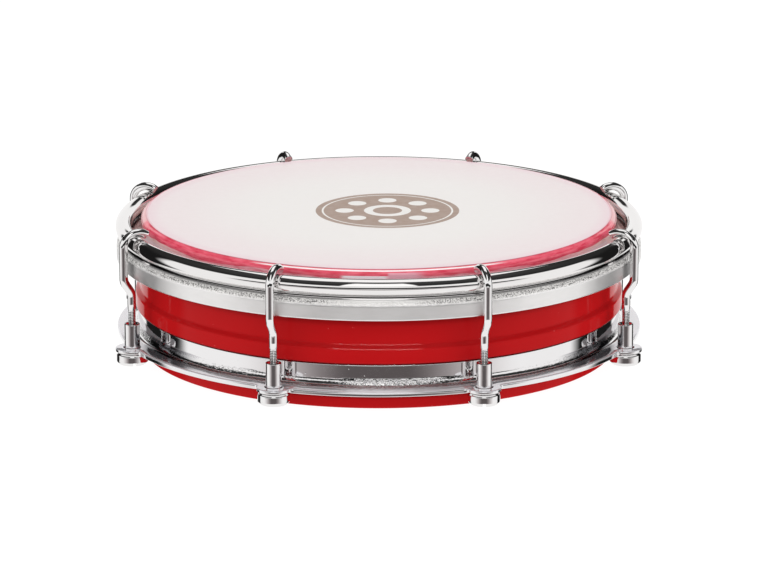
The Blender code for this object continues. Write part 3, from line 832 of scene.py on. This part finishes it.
def studio_world():
    """White studio with dark gaps between its large soft lights."""
    world = bpy.data.worlds.new("studio")
    world.use_nodes = True
    t = Tree(world.node_tree)
    t.nodes.clear()
    direction = t.node("ShaderNodeTexCoord").outputs["Generated"]
    x, y, z = t.split(t.vector("NORMALIZE", direction))[:3]
    el = t.math("MULTIPLY", t.math("ARCSINE", z), 180.0 / math.pi)
    turn = t.math("MULTIPLY", t.math("ARCTAN2", x, t.math("MULTIPLY", y, -1.0)), 180.0 / math.pi)
    az = t.math("ABSOLUTE", turn)
    # the white walls end at 26 degrees; over them only the two cards are lit
    roof = t.ramp(el, 24.0, 29.0)
    light = t.blend(roof, 1.0, t.ramp(el, 29.0, 80.0, 0.024, 0.060))
    front_card = t.math("MULTIPLY", t.ramp(az, 16.5, 18.5, 1.0, 0.0), t.band(el, 28.0, 66.0, 1.0))
    light = t.blend(front_card, light, 1.2)
    across = t.math("DIVIDE", t.math("ABSOLUTE", x), t.math("MAXIMUM", z, 0.02))
    back = t.math("DIVIDE", y, t.math("MAXIMUM", z, 0.02))
    top_card = t.math("MULTIPLY", t.ramp(across, 0.33, 0.37, 1.0, 0.0), t.ramp(back, -0.05, -0.01))
    light = t.blend(t.math("MULTIPLY", top_card, roof), light, 1.1)
    # dark gaps at the ends of the side walls
    ends = t.math("MULTIPLY", t.math("MULTIPLY", t.ramp(az, 102.0, 112.0), t.ramp(az, 146.0, 149.0, 1.0, 0.0)), t.band(el, -34.0, 31.0, 4.0))
    light = t.blend(ends, light, 0.012)
    behind = t.math("MULTIPLY", t.ramp(az, 158.0, 164.0), t.band(el, 17.5, 40.0, 1.0))
    light = t.blend(behind, light, 0.03)
    # dark place of the camera in front, low where the walls turn away
    sunk = t.math("ADD", el, t.math("MULTIPLY", az, 0.22))
    line = t.math("MULTIPLY", t.band(sunk, -4.5, 12.5, 1.2), t.ramp(az, 58.0, 70.0, 1.0, 0.0))
    line = t.math("MULTIPLY", line, t.ramp(el, -11.5, -8.5))
    light = t.blend(line, light, 0.02)
    low = t.band(el, -19.0, -11.0, 1.5)
    front = t.math("MULTIPLY", t.ramp(az, 12.0, 74.0, 1.0, 0.0), low)
    light = t.blend(front, light, 0.115)
    warm = t.mix(front, rgb(1.0, 0.995, 0.99), rgb(1.0, 0.88, 0.885))
    shown = t.mix(1.0, warm, light, "MULTIPLY")
    path = t.node("ShaderNodeLightPath")
    glossy = t.node("ShaderNodeBackground")
    t.put(glossy.inputs["Color"], shown)
    glossy.inputs["Strength"].default_value = 1.0
    even = t.node("ShaderNodeBackground")
    even.inputs["Color"].default_value = rgb(1.0, 0.995, 0.99)
    even.inputs["Strength"].default_value = 0.93
    mixer = t.node("ShaderNodeMixShader")
    t.put(mixer.inputs[0], path.outputs["Is Glossy Ray"])
    t.links.new(even.outputs[0], mixer.inputs[1])
    t.links.new(glossy.outputs[0], mixer.inputs[2])
    out = t.node("ShaderNodeOutputWorld")
    t.links.new(mixer.outputs[0], out.inputs["Surface"])
    bpy.context.scene.world = world


studio_world()


def soft_light(name, size, power, place, target):
    data = bpy.data.lights.new(name, "AREA")
    data.shape = "RECTANGLE"
    data.size, data.size_y = size
    data.energy = power
    ob = bpy.data.objects.new(name, data)
    bpy.context.scene.collection.objects.link(ob)
    ob.location = place
    ob.rotation_euler = (Vector(target) - Vector(place)).to_track_quat("-Z", "Y").to_euler()
    ob.visible_glossy = False
    ob.visible_camera = False
    return ob


soft_light("overhead", (1.4, 1.4), 1.6, (0.0, -0.15, 1.5), (0.0, 0.0, 0.0))
soft_light("side_left", (0.8, 0.8), 2.2, (-1.2, -0.7, 0.45), (0.0, 0.0, 0.02))
soft_light("side_right", (0.8, 0.8), 2.2, (1.2, -0.7, 0.45), (0.0, 0.0, 0.02))


def card(name, size, power, distance, el, az, receivers):
    """Bright card that only shows as a highlight on the named pieces."""
    el, az = math.radians(el), math.radians(az)
    place = Vector((math.cos(el) * math.sin(az), -math.cos(el) * math.cos(az), math.sin(el))) * distance
    ob = soft_light(name, size, power, place, (0.0, 0.0, 0.03))
    ob.visible_glossy = True
    ob.visible_diffuse = False
    group = bpy.data.collections.new(name + "_receivers")
    for receiver in receivers:
        group.objects.link(bpy.data.objects[receiver])
    ob.light_linking.receiver_collection = group


card("card_shell", (0.757, 0.826), 50.0, 1.2, 47.0, 0.0, ["shell_turned"])

# --------------------------------------------------------------------- camera
cam_data = bpy.data.cameras.new("camera")
cam = bpy.data.objects.new("camera", cam_data)
bpy.context.scene.collection.objects.link(cam)
DIST, ELEV = 1.4967, math.radians(14.73)
aim = Vector((0.0, 0.0, 0.0205))
cam.location = aim + Vector((0.0, -math.cos(ELEV), math.sin(ELEV))) * DIST
cam.rotation_euler = (math.pi / 2.0 - ELEV, 0.0, 0.0)
cam_data.sensor_width = 36.0
cam_data.lens = 223.72
cam_data.shift_x = 0.0028
cam_data.shift_y = -0.00085
cam_data.clip_start = 0.05
cam_data.clip_end = 50.0
bpy.context.scene.camera = cam

view = bpy.context.scene.view_settings
view.view_transform = "Standard"
view.look = "None"
view.exposure = 0.0
view.gamma = 1.0
